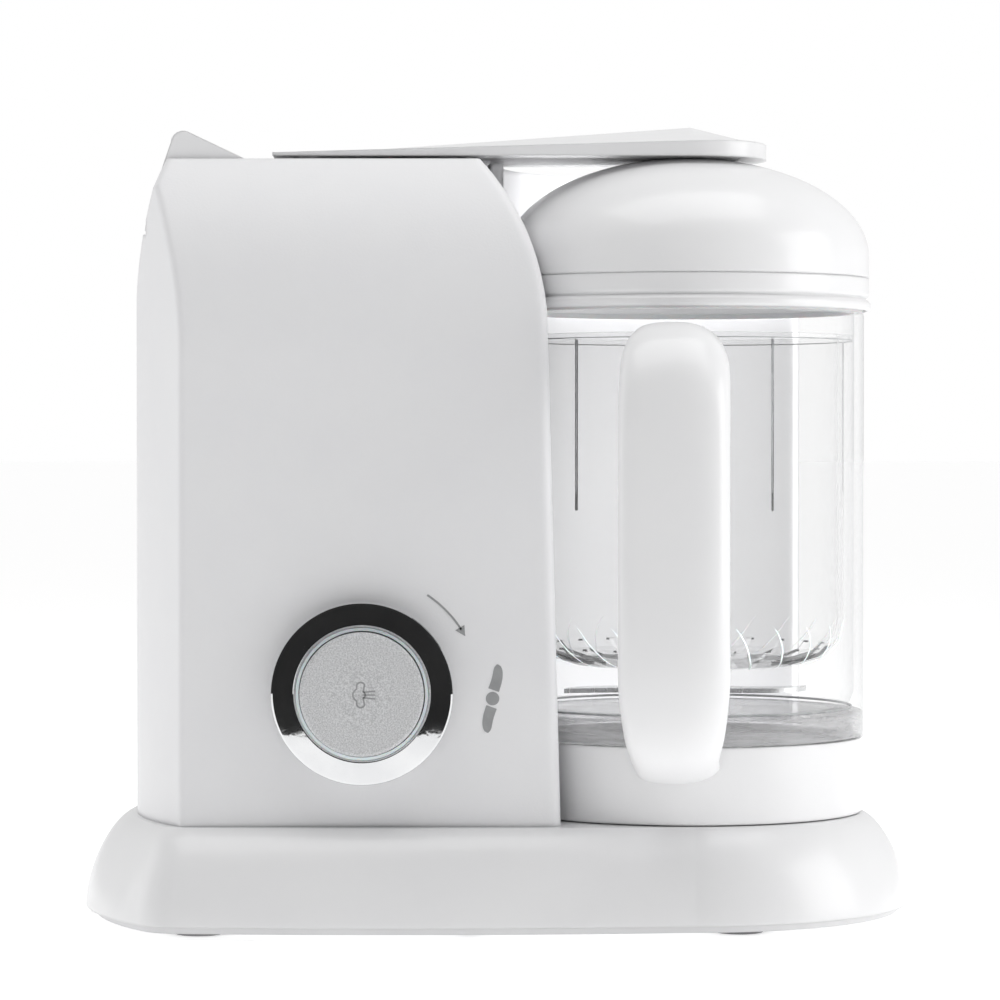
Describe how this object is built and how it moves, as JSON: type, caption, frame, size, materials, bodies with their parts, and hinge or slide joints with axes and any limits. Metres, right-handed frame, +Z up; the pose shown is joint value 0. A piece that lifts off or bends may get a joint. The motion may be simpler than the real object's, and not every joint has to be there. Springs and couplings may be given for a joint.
{
  "type": "baby food maker",
  "caption": "Countertop steam cooker and blender for baby food: tower with turning control ring, clear jug with steaming basket, domed lid and a hinged steam arm.",
  "frame": {"origin": "centre of the overall bounding box on the plane of the feet", "axes": "+Z up, -Y towards the user (knob and handle side), +X towards the jug"},
  "size_m": [0.254, 0.173, 0.2429],
  "materials": {
    "white_gloss": "smooth white moulded plastic, satin to gloss",
    "white_satin": "fine satin moulded white plastic",
    "clear_bowl": "clear, thick walled",
    "clear_basket": "clear to faintly frosted moulded plastic",
    "grey_rubber": "soft matte",
    "pale_silicone": "soft translucent seal",
    "polished_chrome": "mirror polished plating",
    "satin_silver": "fine grained satin silver",
    "blade_steel": "ground stainless steel",
    "boiler_steel": "drawn stainless steel",
    "zinc_screw": "zinc plated",
    "dark_steel": "laminated steel",
    "copper": "copper",
    "black_plastic": "matte moulded black",
    "grey_plastic": "matte grey engineering plastic",
    "board_green": "circuit board",
    "light_guide": "pearly light guide",
    "bronze": "sintered bronze"
  },
  "bodies": {
    "base_unit": {"base_shell": "white_gloss", "bottom_plate": "white_satin", "rubber_feet": "grey_rubber", "case_screws": "zinc_screw", "cord_gland": "grey_rubber", "bowl_seat": "white_satin", "tower_front_cover": "white_gloss", "tower_rear_shell": "white_gloss", "tower_deck": "white_satin", "arm_hinge_pin": "blade_steel", "lever_pin": "blade_steel", "lever_spring": "zinc_screw", "boiler_body": "boiler_steel", "filler_gasket": "pale_silicone", "heating_element": "boiler_steel", "thermostat": "boiler_steel", "boiler_bracket": "boiler_steel", "motor_housing": "dark_steel", "motor_stator": "dark_steel", "motor_plate": "dark_steel", "motor_bushes": "bronze", "drive_belt": "black_plastic", "bearing_housing": "grey_plastic", "spindle_bearing": "zinc_screw", "button_spring": "zinc_screw", "switch_body": "black_plastic", "control_board": "board_green", "interlock_switch": "black_plastic"},
    "motor_rotor": {"armature": "dark_steel", "motor_shaft": "blade_steel", "commutator": "copper", "motor_fan": "grey_plastic", "small_pulley": "grey_plastic"},
    "drive_spindle": {"large_pulley": "grey_plastic", "spindle": "blade_steel", "drive_dog": "grey_plastic"},
    "blade_unit": {"driven_dog": "grey_plastic", "blade_shaft": "blade_steel", "blade": "blade_steel", "blade_spacer": "grey_plastic", "blade_hub": "grey_plastic"},
    "bowl": {"bowl_glass": "clear_bowl", "bowl_collar": "white_gloss", "blade_bush": "grey_plastic", "handle_grip": "white_gloss", "handle_strip": "white_satin", "handle_screws": "zinc_screw", "basket": "clear_basket"},
    "lid": {"lid_dome": "white_gloss", "lid_ring": "white_gloss", "lid_gasket": "pale_silicone", "lid_port": "white_satin"},
    "arm": {"arm_cover": "white_gloss", "arm_plate": "white_satin", "arm_lugs": "white_satin", "steam_channel": "grey_plastic"},
    "release": {"release_lever": "white_gloss"},
    "blend_knob": {"blend_ring": "polished_chrome", "light_ring": "light_guide"},
    "button": {"steam_button": "satin_silver"}
  },
  "joints": [
    {"name": "motor_spin", "type": "hinge", "parent": "base_unit", "child": "motor_rotor", "pos_m": [-0.042, 0.038, 0.05], "axis": [0, 0, 1], "continuous": true},
    {"name": "spindle_spin", "type": "hinge", "parent": "base_unit", "child": "drive_spindle", "pos_m": [0.0587, 0.0115, 0.02], "axis": [0, 0, 1], "continuous": true},
    {"name": "blade_spin", "type": "hinge", "parent": "base_unit", "child": "blade_unit", "pos_m": [0.0587, 0.0115, 0.06], "axis": [0, 0, 1], "continuous": true},
    {"name": "bowl_turn", "type": "hinge", "parent": "base_unit", "child": "bowl", "pos_m": [0.0587, 0.0115, 0.0316], "axis": [0, 0, 1], "range_deg": [0, 30]},
    {"name": "lid_turn", "type": "hinge", "parent": "bowl", "child": "lid", "pos_m": [0.0587, 0.0115, 0.1859], "axis": [0, 0, 1], "range_deg": [0, 25]},
    {"name": "arm_open", "type": "hinge", "parent": "base_unit", "child": "arm", "pos_m": [-0.065, 0.0115, 0.2286], "axis": [0, -1, 0], "range_deg": [0, 80]},
    {"name": "release_tilt", "type": "hinge", "parent": "base_unit", "child": "release", "pos_m": [-0.0995, 0.0115, 0.2145], "axis": [0, -1, 0], "range_deg": [0, 6], "stiffness_Nm_per_rad": 0.6, "springref_deg": -8.59},
    {"name": "ring_turn", "type": "hinge", "parent": "base_unit", "child": "blend_knob", "pos_m": [-0.0396, -0.045, 0.0715], "axis": [0, 1, 0], "range_deg": [0, 45], "stiffness_Nm_per_rad": 0.06, "springref_deg": -11.46},
    {"name": "button_press", "type": "slide", "parent": "base_unit", "child": "button", "axis": [0, 1, 0], "range_m": [0, 0.0025], "stiffness_N_per_m": 600, "springref_m": -0.001}
  ],
  "couplings": [
    {"joint": "spindle_spin", "follows": "motor_spin", "ratio": 0.3333},
    {"joint": "blade_spin", "follows": "motor_spin", "ratio": 0.3333}
  ]
}
